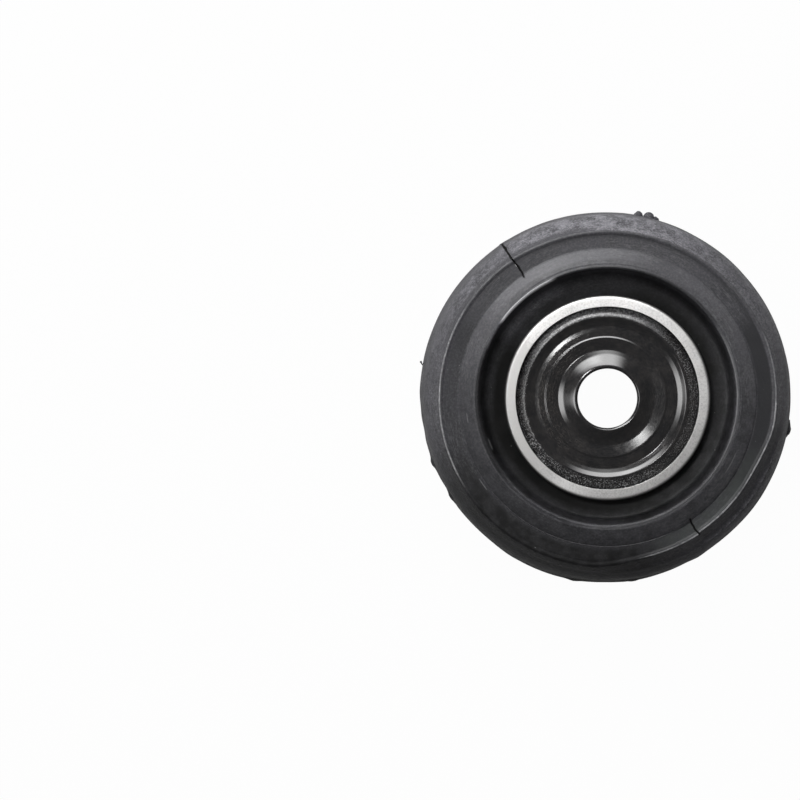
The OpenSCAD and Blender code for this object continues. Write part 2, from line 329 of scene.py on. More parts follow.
# lumps and a thread of flash along the widest line
flash = {
    # angle, radius, height, half sizes out, along and up
    "lumps": ((79.5, 59.0, 7, 1.7, 1.5, 0.6), (76.2, 59.0, 7, 2.1, 1.8, 0.7), (74.4, 58.8, 6.8, 1.5, 1.7, 0.6),
              (350, 59.0, 6.6, 1.5, 2.9, 1.0), (257, 59.0, 5.8, 1.2, 3.0, 0.8), (124, 59.0, 7, 0.9, 1.2, 0.8),
              (301, 58.9, 7, 0.9, 1.8, 0.7), (78, 58.4, 4.4, 1.2, 1.8, 0.8), (72, 58.3, 4.2, 1.1, 1.5, 0.9)),
    "lumpy": 0.3, "lumpyPace": 1.8, "firstSeed": 20, "subdivisions": 3,
    "start": (170.2, 59.2, 7), "reach": 1.45, "swing": -1.2, "rise": 1.2,
    "thick": 0.2, "rootShare": 1.3, "taper": 0.5, "blob": 0.32, "points": 9, "sides": 8,
}
for k, (angle, r, z, out, wide, up) in enumerate(flash["lumps"]):
    bm = bmesh.new()
    bmesh.ops.create_icosphere(bm, subdivisions=flash["subdivisions"], radius=mm)
    for vert in bm.verts:
        readAt = [part * flash["lumpyPace"] for part in vert.co / mm]
        vert.co *= 1 + flash["lumpy"] * wave(*readAt, k + flash["firstSeed"])
        vert.co = Vector((vert.co.x * out, vert.co.y * wide, vert.co.z * up))
    added.append(asObject("lump%d" % k, turnedTo(bm, angle, r, z)))
shares = [k / (flash["points"] - 1) for k in range(flash["points"])]
startAngle, startR, startZ = flash["start"]
path = [at(startR + flash["reach"] * t, startAngle + flash["swing"] * t * t, startZ + flash["rise"] * t)
        for t in shares]
bm = bmesh.new()
hoops = []
for k, here in enumerate(path):
    ahead = path[min(k + 1, len(path) - 1)] - path[max(k - 1, 0)]
    thick = flash["thick"] * (flash["rootShare"] - flash["taper"] * shares[k])
    if k >= len(path) - 2:
        thick = flash["blob"]
    frameAt = Matrix.Translation(here) @ ahead.to_track_quat("Z", "Y").to_matrix().to_4x4()
    made = bmesh.ops.create_circle(bm, cap_ends=k in (0, len(path) - 1), segments=flash["sides"],
                                   radius=thick * mm, matrix=frameAt)
    hoops.append(made["verts"])
for low, high in zip(hoops, hoops[1:]):
    rims = {e for hoop in (low, high) for v in hoop for e in v.link_edges if e.other_vert(v) in hoop}
    bmesh.ops.bridge_loops(bm, edges=list(rims))
bmesh.ops.recalc_face_normals(bm, faces=bm.faces[:])
added.append(asObject("hair", bm))
shaped(rubberBell, added, "UNION")
print("pads and flash joined:", len(rubberBell.data.polygons), "faces")

# pin holes, dimples and vent marks of the mould, cut from below
marks = {"below": -1, "turns": 36,
         "pinAngles": [3.5 + 60 * k for k in range(6)], "pinD": 5.6, "pinDeep": 2.9, "pinEdge": 0.3,
         "dimpleAngles": (131.5, 242.5, 2.5), "dimpleR": 37.8, "dimpleD": 4.4, "dimpleDeep": 0.7,
         "dimpleEdge": 0.15,
         # raised middle of a dimple
         "buttonFoot": 0.7, "buttonEdge": 1.3, "buttonRim": 0.45, "buttonTop": 0.35,
         "ventAngles": (91, 180, 267, 1), "ventR": 56.3, "ventD": 1.9, "ventDeep": 0.16, "ventW": 0.35,
         "islandEdge": (0.4, -0.02), "islandTop": -0.04}
pin, dimple, vent = (marks[name] / 2 for name in ("pinD", "dimpleD", "ventD"))
below, pinDeep, dimpleDeep, ventDeep = (marks[name] for name in ("below", "pinDeep", "dimpleDeep", "ventDeep"))
pinWide, dimpleWide = pin + marks["pinEdge"], dimple + marks["dimpleEdge"]
pinSection = [(0, below, 0), (pinWide, below, 0), (pinWide, 0, 0), (pin, marks["pinEdge"], 0.2),
              (pin, pinDeep, 0.3), (0, pinDeep, 0)]
dimpleSection = [(0, below, 0), (dimpleWide, below, 0), (dimpleWide, 0, 0), (dimple, marks["dimpleEdge"], 0),
                 (dimple - marks["dimpleEdge"], dimpleDeep, 0.2),
                 (dimple - marks["buttonFoot"], dimpleDeep, 0.2),
                 (dimple - marks["buttonEdge"], dimpleDeep * marks["buttonRim"], 0.3),
                 (0, dimpleDeep * marks["buttonTop"], 0)]
ventSection = [(0, below, 0), (vent, below, 0), (vent, ventDeep, 0), (vent - marks["ventW"], ventDeep, 0),
               (vent - marks["islandEdge"][0], marks["islandEdge"][1], 0), (0, marks["islandTop"], 0)]
cutters = []
for section, angles, r, z in ((pinSection, marks["pinAngles"], b["pinR"], b["floorZ"]),
                              (dimpleSection, marks["dimpleAngles"], marks["dimpleR"], padSet["top"]),
                              (ventSection, marks["ventAngles"], marks["ventR"], 0)):
    for angle in angles:
        cutters.append(asObject("plug", turnedTo(turned(section, marks["turns"]), angle, r, z)))

# grooves where the mould's halves met, across the ledge and down the flank
seams = {
    "grooves": ((124, 0.55, "flankPath"), (304, 0.6, "ledgePath")),  # angle, width, path
    "wander": ((0.2, 42.0), (0.06, 150.0)),  # size, degrees for each mm
    "flankPath": ((45.5, 27.6), (46.6, 26.3), (51.9, 26.3), (52.9, 26.5), (54.8, 23.2), (56.8, 19.7),
                  (58.1, 13.9), (58.9, 8.5), (61, 8.5), (61, 30), (45.5, 30)),
    "ledgePath": ((46, 27.6), (46.6, 26.2), (52.4, 26.2), (53.2, 30), (46, 30)),
    "longest": 0.8,
}
for angle, wide, route in seams["grooves"]:
    bm = sectionFace([(r, z, 0) for r, z in seams[route]])
    cutLong(bm, seams["longest"])
    bmesh.ops.translate(bm, verts=bm.verts[:], vec=(0, -wide / 2 * mm, 0))
    grown = bmesh.ops.extrude_face_region(bm, geom=bm.faces[:])["geom"]
    farSide = [g for g in grown if isinstance(g, bmesh.types.BMVert)]
    bmesh.ops.translate(bm, verts=farSide, vec=(0, wide * mm, 0))
    for vert in bm.verts:
        vert.co.y += mm * sum(size * math.sin(math.radians(pace * vert.co.x / mm))
                              for size, pace in seams["wander"])
    bmesh.ops.triangulate(bm, faces=bm.faces[:])
    bmesh.ops.recalc_face_normals(bm, faces=bm.faces[:])
    cutters.append(asObject("seam", turnedTo(bm, angle)))
shaped(rubberBell, cutters, "DIFFERENCE")
rubberBell.data.set_sharp_from_angle(angle=math.radians(smoothTo))
print("marks cut:", len(rubberBell.data.polygons), "faces")

# pressed plate with its hole
plate = {
    "holeR": 9.3, "sheet": 3.2, "nose": 30.78, "flare": 0.6, "flareDeep": 0.5, "edgeR": 28.5, "edge": 28.5,
    "domeR": 10.5, "dome": 30.6, "slopeR": 13.5, "slope": 29.1, "footR": 14.9, "foot": 28.66,
    "valleyR": 15.2, "valley": 28.63, "bankR": 18.3, "bank": 29.22, "ridgeR": 18.7, "ridge": 29.29,
    "ridgeFootR": 19.2, "ridgeFoot": 29.05, "creaseR": 20.9, "crease": 28.97, "floorR": 21.7, "floor": 28.85,
    "grooveR": 22.3, "groove": 28.76, "riseR": 23.65, "rise": 29.2, "brinkR": 24.9, "brink": 29.82,
    "crestR": 25.5, "crest": 29.87,
    # pressed a little out of centre; a pair of radii is where a shift starts and where it is full
    "shift": (-0.33, 0.19), "shiftIn": (9.5, 14.5), "shiftOut": (28.2, 26.2),
    "holeShift": (0.1, -0.1), "holeFade": (11.5, 10),
    # size, length, seed: lumps of the thick coat below
    "lumps": (0.22, 2.2, 8), "pimples": (0.1, 0.9, 9), "lumpEdge": 0.4, "underTilt": -0.2,
    "longest": 0.35, "steps": 300, "sharp": 50,
}
p = plate
plateTop = [(p[name + "R"], p[name], rounding) for name, rounding in (
    ("dome", 0.8), ("slope", 3.0), ("foot", 0.6), ("valley", 0.4), ("bank", 0.3), ("ridge", 0.3),
    ("ridgeFoot", 0.3), ("crease", 0.8), ("floor", 1.0), ("groove", 0.08), ("rise", 1.2), ("brink", 0.4),
    ("crest", 1.2))]
plateSection = [(p["holeR"], p["nose"] - p["flareDeep"], 0.4), (p["holeR"] + p["flare"], p["nose"], 0.5)]
plateSection += plateTop + [(p["edgeR"], p["edge"], 0.25), (p["edgeR"], p["edge"] - p["sheet"], 0)]
plateSection += [(r, z - p["sheet"], rounding) for r, z, rounding in reversed(plateTop)]
plateSection += [(p["holeR"], p["nose"] - p["sheet"], 0.4)]
plateMesh = turned(plateSection, plate["steps"], plate["longest"])
plateMesh.normal_update()
lumpSize, lumpLength, lumpSeed = p["lumps"]
pimpleSize, pimpleLength, pimpleSeed = p["pimples"]
for vert in plateMesh.verts:
    x, y, z = vert.co / mm
    r = math.hypot(x, y)
    vert.co += Vector((*p["shift"], 0)) * mm * blend(r, *p["shiftIn"]) * blend(r, *p["shiftOut"])
    vert.co += Vector((*p["holeShift"], 0)) * mm * blend(r, *p["holeFade"])
    if vert.normal.z < p["underTilt"] and p["holeR"] + p["lumpEdge"] < r < b["hubR"] + p["lumpEdge"]:
        lump = lumpSize * max(0, flatWave(x, y, lumpLength, lumpSeed))
        vert.co.z -= mm * (lump + pimpleSize * flatWave(x, y, pimpleLength, pimpleSeed))
centrePlate = asObject("centrePlate", plateMesh, plate["sharp"])
print("plate turned:", len(centrePlate.data.polygons), "faces")

# bearing seat ring, its face a little lower outside
ring = {"outR": 32.1, "inR": 28.5, "edge": 1.1, "chamfer": 0.08, "fall": 0.24, "longest": 0.6, "steps": 300,
        "sharp": 50}
ringSection = [(ring["inR"], ringFoot, 0.2), (ring["outR"], ringFoot, 0.2),
               (ring["outR"], ringTop - ring["fall"], ring["edge"]),
               (ring["inR"] + ring["chamfer"], ringTop, 0.05), (ring["inR"], ringTop - ring["chamfer"], 0.05)]
seatRing = asObject("seatRing", turned(ringSection, ring["steps"], ring["longest"]), ring["sharp"])
print("ring turned")


# node helpers
def addNode(tree, kind, **settings):
    node = tree.nodes.new(kind)
    for key, value in settings.items():
        setattr(node, key, value)
    return node


def feed(tree, socket, value):
    if isinstance(value, bpy.types.NodeSocket):
        tree.links.new(value, socket)
    else:
        socket.default_value = value


def calc(tree, operation, first, second=0.0):
    node = addNode(tree, "ShaderNodeMath", operation=operation)
    feed(tree, node.inputs[0], first)
    feed(tree, node.inputs[1], second)
    return node.outputs[0]


def times(tree, *values):
    total = values[0]
    for value in values[1:]:
        total = calc(tree, "MULTIPLY", total, value)
    return total


def plus(tree, *values):
    total = values[0]
    for value in values[1:]:
        total = calc(tree, "ADD", total, value)
    return total


def minus(tree, first, second):
    return calc(tree, "SUBTRACT", first, second)


def spread(tree, value, reach, base):
    # base where the value is 0, and reach more where it is 1
    return plus(tree, times(tree, value, reach), base)


def ramp(tree, value, low, high, outLow=0.0, outHigh=1.0):
    # a smooth step; low may be the greater one
    if low > high:
        low, high, outLow, outHigh = high, low, outHigh, outLow
    node = addNode(tree, "ShaderNodeMapRange", interpolation_type="SMOOTHSTEP")
    for socket, given in zip(node.inputs, (value, low, high, outLow, outHigh)):
        feed(tree, socket, given)
    return node.outputs[0]


def band(tree, value, low, high, soft):
    # 1 between low and high
    return times(tree, ramp(tree, value, low - soft, low + soft), ramp(tree, value, high + soft, high - soft))


def mixColour(tree, mask, first, second):
    node = addNode(tree, "ShaderNodeMix", data_type="RGBA")
    feed(tree, node.inputs["Factor"], mask)
    feed(tree, node.inputs[6], first)
    feed(tree, node.inputs[7], second)
    return node.outputs[2]


def grainOf(tree, vector, scale, detail=3.0, rough=0.55):
    node = addNode(tree, "ShaderNodeTexNoise")
    feed(tree, node.inputs["Vector"], vector)
    feed(tree, node.inputs["Scale"], scale)
    node.inputs["Detail"].default_value = detail
    node.inputs["Roughness"].default_value = rough
    return node.outputs["Fac"]


def newGroup(name, inputs, outputs):
    group = bpy.data.node_groups.new(name, "ShaderNodeTree")
    for label, kind, value in [("Vector", "NodeSocketVector", None)] + inputs:
        socket = group.interface.new_socket(label, in_out="INPUT", socket_type=kind)
        if value is not None:
            socket.default_value = value
    for label, kind in outputs:
        group.interface.new_socket(label, in_out="OUTPUT", socket_type=kind)
    return group, addNode(group, "NodeGroupInput").outputs, addNode(group, "NodeGroupOutput").inputs


# group: radius and height in mm, turn in degrees, and a vector that runs along the turning
turnPace = 0.09  # mm along for each degree
axisOutputs = [("Radius", "NodeSocketFloat"), ("Turn", "NodeSocketFloat"), ("Height", "NodeSocketFloat"),
               ("Along", "NodeSocketVector")]
aroundAxis, given, made = newGroup("aroundAxis", [], axisOutputs)
tree = aroundAxis
parts = addNode(tree, "ShaderNodeSeparateXYZ")
feed(tree, parts.inputs[0], given["Vector"])
x, y, z = parts.outputs
radius = times(tree, calc(tree, "SQRT", plus(tree, times(tree, x, x), times(tree, y, y))), 1 / mm)
turn = calc(tree, "DEGREES", calc(tree, "ARCTAN2", y, x))
height = times(tree, z, 1 / mm)
alongTurn = addNode(tree, "ShaderNodeCombineXYZ")
feed(tree, alongTurn.inputs[0], radius)
feed(tree, alongTurn.inputs[1], times(tree, turn, turnPace))
feed(tree, alongTurn.inputs[2], height)
for label, value in (("Radius", radius), ("Turn", turn), ("Height", height), ("Along", alongTurn.outputs[0])):
    feed(tree, made[label], value)

# group: blotches and fine grain of a moulded or sprayed skin
grainSet = {"blotch": (5.0, 0.62), "blotchStep": (0.38, 0.66), "fine": (4.0, 0.6), "fineStep": (0.42, 0.7),
            "blotchRelief": 0.5}  # detail and roughness, and where each turns from 0 to 1
skinGrain, given, made = newGroup(
    "skinGrain", [("Blotch", "NodeSocketFloat", 120.0), ("Fine", "NodeSocketFloat", 1400.0)],
    [(label, "NodeSocketFloat") for label in ("Blotches", "Grain", "Relief")])
blotches = grainOf(skinGrain, given["Vector"], given["Blotch"], *grainSet["blotch"])
fineGrain = grainOf(skinGrain, given["Vector"], given["Fine"], *grainSet["fine"])
feed(skinGrain, made["Blotches"], ramp(skinGrain, blotches, *grainSet["blotchStep"]))
feed(skinGrain, made["Grain"], ramp(skinGrain, fineGrain, *grainSet["fineStep"]))
feed(skinGrain, made["Relief"], spread(skinGrain, blotches, grainSet["blotchRelief"], fineGrain))

# group: scattered specks
speckEdge = 0.6
scattered, given, made = newGroup(
    "scattered", [("Scale", "NodeSocketFloat", 400.0), ("Share", "NodeSocketFloat", 0.1),
                  ("Size", "NodeSocketFloat", 0.2)], [("Specks", "NodeSocketFloat")])
cells = addNode(scattered, "ShaderNodeTexVoronoi", feature="F1")
feed(scattered, cells.inputs["Vector"], given["Vector"])
feed(scattered, cells.inputs["Scale"], given["Scale"])
shade = addNode(scattered, "ShaderNodeSeparateColor")
feed(scattered, shade.inputs[0], cells.outputs["Color"])
small = minus(scattered, 1.0, calc(scattered, "DIVIDE", cells.outputs["Distance"], given["Size"]))
picked = calc(scattered, "LESS_THAN", shade.outputs[0], given["Share"])
feed(scattered, made["Specks"], times(scattered, ramp(scattered, small, 0.0, speckEdge), picked))


def placed(tree, group, vector, **values):
    node = addNode(tree, "ShaderNodeGroup", node_tree=group)
    tree.links.new(vector, node.inputs["Vector"])
    for label, value in values.items():
        feed(tree, node.inputs[label], value)
    return node.outputs


def cosine(tree, turn, angle):
    # 1 at the angle, -1 on the far side
    return calc(tree, "COSINE", calc(tree, "RADIANS", minus(tree, turn, float(angle))))


def sector(tree, turn, centre, half, soft):
    # the same as near, for a material
    return ramp(tree, cosine(tree, turn, centre), towards(half + soft, 0), towards(half, 0))


def sectors(tree, turn, rows):
    # a list of shares round the axis, from rows of share, centre, half and soft
    return [times(tree, sector(tree, turn, *where), share) for share, *where in rows]


def newMaterial(name):
    material = bpy.data.materials.new(name)
    material.use_nodes = True
    tree = material.node_tree
    spot = addNode(tree, "ShaderNodeTexCoord").outputs["Object"]
    return material, tree, tree.nodes["Principled BSDF"], spot, placed(tree, aroundAxis, spot)


def addBump(tree, shader, height):
    # height in mm
    bump = addNode(tree, "ShaderNodeBump")
    bump.inputs["Strength"].default_value = 1.0
    bump.inputs["Distance"].default_value = mm
    feed(tree, bump.inputs["Height"], height)
    tree.links.new(bump.outputs["Normal"], shader.inputs["Normal"])


# moulded rubber, dusty on the flank with painted sheen on its upper side and painted shade on its lower left,
# painted highlights along its edges, and black with bonding agent and painted shade in the trench
rubberSet = {
    "plain": (0.0485, 0.0475, 0.0535, 1), "dark": (0.023, 0.023, 0.025, 1), "bloom": (0.2, 0.197, 0.214, 1),
    "crown": (0.082, 0.081, 0.087, 1), "oily": (0.008, 0.008, 0.0082, 1), "dust": (0.3, 0.3, 0.3, 1),
    "agent": (0.0035, 0.0035, 0.0034, 1), "matt": (0.052, 0.057, 0.0545, 1), "rubbed": (0.36, 0.36, 0.37, 1),
    "specular": 0.22, "roughness": 0.36,
    # angle, radius, half angle, half width
    "scratches": ((201.6, 39.3, 1.6, 0.16), (188, 44.2, 1.2, 0.1), (332, 43.6, 3, 0.12), (215, 47.5, 1.5, 0.1)),
    "nicks": ((99.5, 56.6, 0.6, 0.3), (142.7, 56.0, 0.5, 0.3)), "markSoft": 0.15,
}
zones = {  # where each starts and is full, or its two ends and how soft they are
    "above": (23.4, 24.2), "outside": (0.8, 1.6), "edgeWearAndHighlight": (0.4, 0.1), "crownHighlight": (40.2, 41.1, 0.2),
    "seamHalf": (0.4, 0.24), "seamR": (45.4, 46.2), "seamZ": (8.0, 9.0), "seamEndR": (52.2, 51.6),
    "seamTurn": (10, 5), "edgeInset": 0.15, "flank": (0.1, 0.7), "flankZ": (6.5, 8.5),
    "ledge": (b["ledgeIn"] + 0.5, b["beadIn"] - 0.3, 0.4), "ledgeRim": (-2.6, -0.8),
    "crown": (41.4, b["ledgeIn"] + 0.1, 0.3), "crownFoot": (43.4, b["ledgeIn"] + 0.3, 0.5),
    "crownBrow": (40.0, 41.3, 0.3), "trench": (40.4, 39.2), "trenchWall": (34.5, 36.5),
    "nearRing": (37.0, 33.0),
    "flankShadeTurn": (248, 26, 34), "flankShadeR": (45.0, 49.0), "flankShadeZ": (7.0, 10.0),
    "litPanelTurn": (314, 12, 20), "litPanel": (-0.3, -0.8), "lip": (1.2, 0.3), "skirt": (7.5, 5.5),
    "cutLow": (b["floorZ"] + 0.05, b["floorZ"] + 0.35), "cutHigh": (24.4, 23.6), "cutR": (33.6, 33.2),
    "padFootR": (padSet["inR"] - 0.3, padSet["inR"] + 0.1, 0.1),
    "padFootZ": (padSet["top"] + 0.6, b["floorZ"] + 0.2, 0.2),
    "dimEdge": (2.4, 1.0), "dimFlank": (4.6, 3.2), "bloomAndSheenZ": (12.0, 20.5, 0.15, 1.0),
}
turns = {  # share, centre, half, soft
    "edgeWearAndHighlight": ((0.7, 180, 24, 10), (1.0, 328, 24, 8), (0.6, 4, 12, 8), (0.6, 292, 8, 6), (0.12, 124, 24, 10)),
    "crownHighlight": ((0.3, 322, 56, 18), (2.4, 129, 9, 8)), "litLedge": ((0.3, 100, 42, 16),),
    "litFoot": ((0.31, 108, 20, 22), (0.1, 15, 30, 25)), "mottled": ((0.35, 275, 75, 35),),
    # painted sheen on the flank towards the lamps
    "bloom": ((0.18, 82, 45, 45), (0.28, 90, 10, 30), (0.3, 335, 12, 22)),
    "dimEdge": ((0.95, 130, 26, 14),), "dimFlank": ((0.8, 328, 20, 12),),
    "shadedLedge": ((0.9, 356, 26, 14), (0.4, 172, 14, 14), (0.25, 138, 18, 14)),
    "shadedCrown": ((0.35, 212, 32, 22), (0.2, 100, 20, 25)), "shadedRim": ((0.6, 62, 46, 16),),
    "shadowedBrow": ((0.5, 76, 34, 12), (0.7, 188, 24, 12)),
    "agent": ((0.2, 42, 22, 20), (0.2, 325, 30, 20), (0.2, 240, 40, 25), (0.14, 180, 24, 14)),
    "litTrenchWall": ((-0.5, 130, 13, 9),), "ringShade": ((0.36, 225, 55, 25), (-0.2, 325, 30, 20)),
}
rubber, tree, shader, spot, polar = newMaterial("mouldedRubber")
radius, turn, height = polar["Radius"], polar["Turn"], polar["Height"]
skin = placed(tree, skinGrain, spot, Blotch=95.0, Fine=1500.0)
mottle = placed(tree, skinGrain, spot, Blotch=260.0, Fine=850.0)
streaks = placed(tree, skinGrain, polar["Along"], Blotch=0.35, Fine=1.6)
scuffs = placed(tree, skinGrain, polar["Along"], Blotch=0.9, Fine=4.0)
specks = placed(tree, scattered, spot, Scale=800.0, Share=0.025, Size=0.18)
nicks = placed(tree, scattered, spot, Scale=260.0, Share=0.06, Size=0.13)


def around(name):
    return plus(tree, *sectors(tree, turn, turns[name]))


# lines: painted highlights, partly rubbed wear, along the ledge's edge and on the crown's inner edge, and
# painted shade in the seam
above = ramp(tree, height, *zones["above"])
alongSeam = calc(tree, "SINE", calc(tree, "RADIANS", minus(tree, turn, float(m["seam"]))))
sideOf = calc(tree, "SIGN", alongSeam)
innerRows = [(-step, *where) for *where, step in m["innerEdges"]]
edgeR = plus(tree, b["beadOut"] - zones["edgeInset"], plus(tree, *sectors(tree, turn, innerRows)),
             times(tree, sideOf, cosine(tree, turn, m["seam"]), -m["mismatch"] / 2))
edgeOff = minus(tree, radius, edgeR)
cupWall = plus(tree, b["lipIn"], times(tree, height, (b["cupR"] - b["lipIn"]) / b["cupZ"]))
outside = calc(tree, "MAXIMUM", above, ramp(tree, minus(tree, radius, cupWall), *zones["outside"]))
unworn = minus(tree, 1.0, sector(tree, turn, *m["wornEdge"]))
edgeBreakup = plus(tree, times(tree, streaks["Grain"], 0.5), times(tree, mottle["Grain"], 0.5), 0.35)
# painted highlight, partly rubbed wear, along the ledge's outer edge
edgeWearAndHighlight = times(tree, ramp(tree, calc(tree, "ABSOLUTE", edgeOff), *zones["edgeWearAndHighlight"]), above, unworn,
                 edgeBreakup, plus(tree, around("edgeWearAndHighlight"), 0.06))
# painted highlight on the crown's inner edge, strongest near 129 degrees
crownHighlight = times(tree, band(tree, radius, *zones["crownHighlight"]), above, spread(tree, streaks["Grain"], 0.6, 0.6),
                  around("crownHighlight"))
wander = plus(tree, *(times(tree, calc(tree, "SINE", calc(tree, "RADIANS", times(tree, radius, pace))), size)
                      for size, pace in seams["wander"]))
seamSide = times(tree, calc(tree, "SIGN", cosine(tree, turn, m["seam"])), wander)
seamOff = calc(tree, "ABSOLUTE", minus(tree, times(tree, alongSeam, radius), seamSide))
flankSeam = times(tree, sector(tree, turn, m["seam"], *zones["seamTurn"]), ramp(tree, height, *zones["seamZ"]))
ledgeSeam = times(tree, sector(tree, turn, m["seam"] + 180, *zones["seamTurn"]),
                  ramp(tree, radius, *zones["seamEndR"]))
# painted shade in the seam grooves, black where the lamps would light the groove's floor
seamShade = times(tree, ramp(tree, seamOff, *zones["seamHalf"]), ramp(tree, radius, *zones["seamR"]),
                 plus(tree, flankSeam, ledgeSeam), outside)

# zones of the bell
flank = times(tree, ramp(tree, edgeOff, *zones["flank"]), ramp(tree, height, *zones["flankZ"]), outside)
ledge, crown, crownFoot, crownBrow = (times(tree, band(tree, radius, *zones[name]), above)
                                      for name in ("ledge", "crown", "crownFoot", "crownBrow"))
trench, nearRing = (times(tree, ramp(tree, radius, *zones[name]), above) for name in ("trench", "nearRing"))
ledgeRim = times(tree, ramp(tree, edgeOff, *zones["ledgeRim"]), ledge)
# painted shade: the flank darkened towards its lower left, away from the lamps
oily = times(tree, sector(tree, turn, *zones["flankShadeTurn"]), ramp(tree, radius, *zones["flankShadeR"]),
             ramp(tree, height, *zones["flankShadeZ"]), outside)
# painted light: a lighter, greener patch of the ledge near the lower right seam
litPanel = times(tree, ledge, sector(tree, turn, *zones["litPanelTurn"]), ramp(tree, edgeOff, *zones["litPanel"]),
              spread(tree, mottle["Blotches"], 0.35, 0.55))
lip = plus(tree, times(tree, ramp(tree, height, *zones["lip"]), 0.4),
           times(tree, ramp(tree, height, *zones["skirt"]), outside, 0.35))
# painted shade in the pin holes and grooves, and at the feet of the pads
cuts = times(tree, ramp(tree, height, *zones["cutLow"]), ramp(tree, height, *zones["cutHigh"]),
             ramp(tree, radius, *zones["cutR"]))
padFootShade = times(tree, band(tree, radius, *zones["padFootR"]), band(tree, height, *zones["padFootZ"]))
hollowShade = plus(tree, cuts, padFootShade)

# dust with painted sheen on the flank, and bonding agent with painted shade in the trench
dusty = plus(tree, times(tree, mottle["Blotches"], 0.85), times(tree, mottle["Grain"], 0.45),
             times(tree, skin["Grain"], 0.95), 0.02)
# dust on the flank plus painted sheen, stronger towards the lit upper side and weaker in two sectors
bloom = times(tree, flank, dusty, plus(tree, around("bloom"), 0.23),
              minus(tree, 1.0, times(tree, ramp(tree, edgeOff, *zones["dimEdge"]), around("dimEdge"))),
              minus(tree, 1.0, times(tree, ramp(tree, edgeOff, *zones["dimFlank"]), around("dimFlank"))),
              ramp(tree, height, *zones["bloomAndSheenZ"]))
# the trench blackened by bonding agent and by painted shade, darkest away from the lamps, with painted light on
# its wall near 130 degrees
agent = plus(tree, times(tree, trench, plus(tree, around("agent"), 0.5)),
             times(tree, trench, ramp(tree, radius, *zones["trenchWall"]), around("litTrenchWall")),
             times(tree, nearRing, plus(tree, around("ringShade"), 0.2)),
             times(tree, trench, mottle["Blotches"], 0.12))

# coats of colour, each over the ones before it
tone = mixColour(tree, times(tree, skin["Blotches"], 0.5), rubberSet["plain"], rubberSet["dark"])
for mask, colour in (
        (times(tree, crown, spread(tree, mottle["Grain"], 0.5, 0.38)), "crown"),
        # painted light: the ledge and the crown's foot lighter towards the lit top
        (times(tree, ledge, around("litLedge")), "crown"),
        (times(tree, crownFoot, around("litFoot"), plus(tree, mottle["Blotches"], 0.6)), "bloom"),
        (times(tree, mottle["Blotches"], above, plus(tree, around("mottled"), 0.25)), "dark"),
        (times(tree, streaks["Grain"], above, 0.1), "dark"),
        (times(tree, scuffs["Grain"], skin["Blotches"], above, 0.14), "rubbed"),
        (times(tree, skin["Grain"], above, 0.08), "rubbed"),
        (lip, "bloom"),
        (times(tree, hollowShade, 0.7), "agent"),
        (bloom, "bloom"),
        (times(tree, oily, spread(tree, mottle["Blotches"], -0.25, 0.98)), "oily"),
        # painted shade: the ledge, the crown and the ledge's outer rim darkened in some sectors
        (times(tree, ledge, around("shadedLedge")), "dark"),
        (times(tree, crown, around("shadedCrown")), "dark"),
        (times(tree, ledgeRim, around("shadedRim")), "dark"),
        (times(tree, litPanel, 0.7), "matt"),
        # painted shadow along the crown's inner edge in two sectors
        (times(tree, crownBrow, around("shadowedBrow")), "agent"),
        (agent, "agent"),
        (plus(tree, edgeWearAndHighlight, crownHighlight), "rubbed"),
        (times(tree, specks["Specks"], 0.35), "dust")):
    tone = mixColour(tree, mask, tone, rubberSet[colour])
for rows, colour, share in ((rubberSet["scratches"], "rubbed", 0.3), (rubberSet["nicks"], "agent", 0.95)):
    for angle, r, half, wide in rows:
        mark = times(tree, sector(tree, turn, angle, half, half),
                     band(tree, radius, r - wide, r + wide, rubberSet["markSoft"]), above)
        tone = mixColour(tree, times(tree, mark, share), tone, rubberSet[colour])
tone = mixColour(tree, times(tree, nicks["Specks"], flank), tone, rubberSet["agent"])
tone = mixColour(tree, seamShade, tone, rubberSet["agent"])
feed(tree, shader.inputs["Base Color"], tone)
shader.inputs["Specular IOR Level"].default_value = rubberSet["specular"]
rough = plus(tree, times(tree, mottle["Blotches"], 0.12), times(tree, flank, 0.1),
             times(tree, seamShade, 0.4), rubberSet["roughness"])
feed(tree, shader.inputs["Roughness"], rough)
relief = plus(tree, times(tree, skin["Relief"], 0.012), times(tree, flank, mottle["Relief"], 0.2),
              times(tree, above, mottle["Relief"], 0.03), times(tree, streaks["Relief"], above, 0.008),
              times(tree, flank, skin["Relief"], 0.07), times(tree, nicks["Specks"], flank, -0.1))
addBump(tree, shader, relief)
print("rubber mixed")

# glossy black coat, rough along the ring with painted sheen and painted glints there, and thick as tar
# underneath
coatSet = {
    "black": (0.010, 0.010, 0.011, 1), "worn": (0.085, 0.076, 0.07, 1), "dry": (0.3, 0.3, 0.31, 1),
    "tar": (0.013, 0.011, 0.0095, 1), "speck": (0.6, 0.6, 0.61, 1), "specular": 1.0, "roughness": 0.1,
    "underTilt": (-0.05, -0.25), "rim": (p["crestR"] - 0.3, p["crestR"] + 0.5),
    "middle": (p["valleyR"] + 0.8, p["grooveR"] - 0.6, 0.3),
    "middleTurn": (172, 35, 50), "rimSheenTurn": (103, 28, 34), "glintTurn": (248, 28, 40),  # centre, half, soft
    "sandScale": 2800.0, "sandDetail": 2.0, "sandStep": (0.54, 0.61),
}
coat, tree, shader, spot, polar = newMaterial("blackCoat")
radius, turn = polar["Radius"], polar["Turn"]
skin = placed(tree, skinGrain, spot, Blotch=260.0, Fine=1500.0)
flecks = placed(tree, skinGrain, polar["Along"], Blotch=0.9, Fine=3.2)
facing = addNode(tree, "ShaderNodeSeparateXYZ")
tree.links.new(addNode(tree, "ShaderNodeNewGeometry").outputs["Normal"], facing.inputs[0])
under = ramp(tree, facing.outputs[2], *coatSet["underTilt"])
upper = minus(tree, 1.0, under)
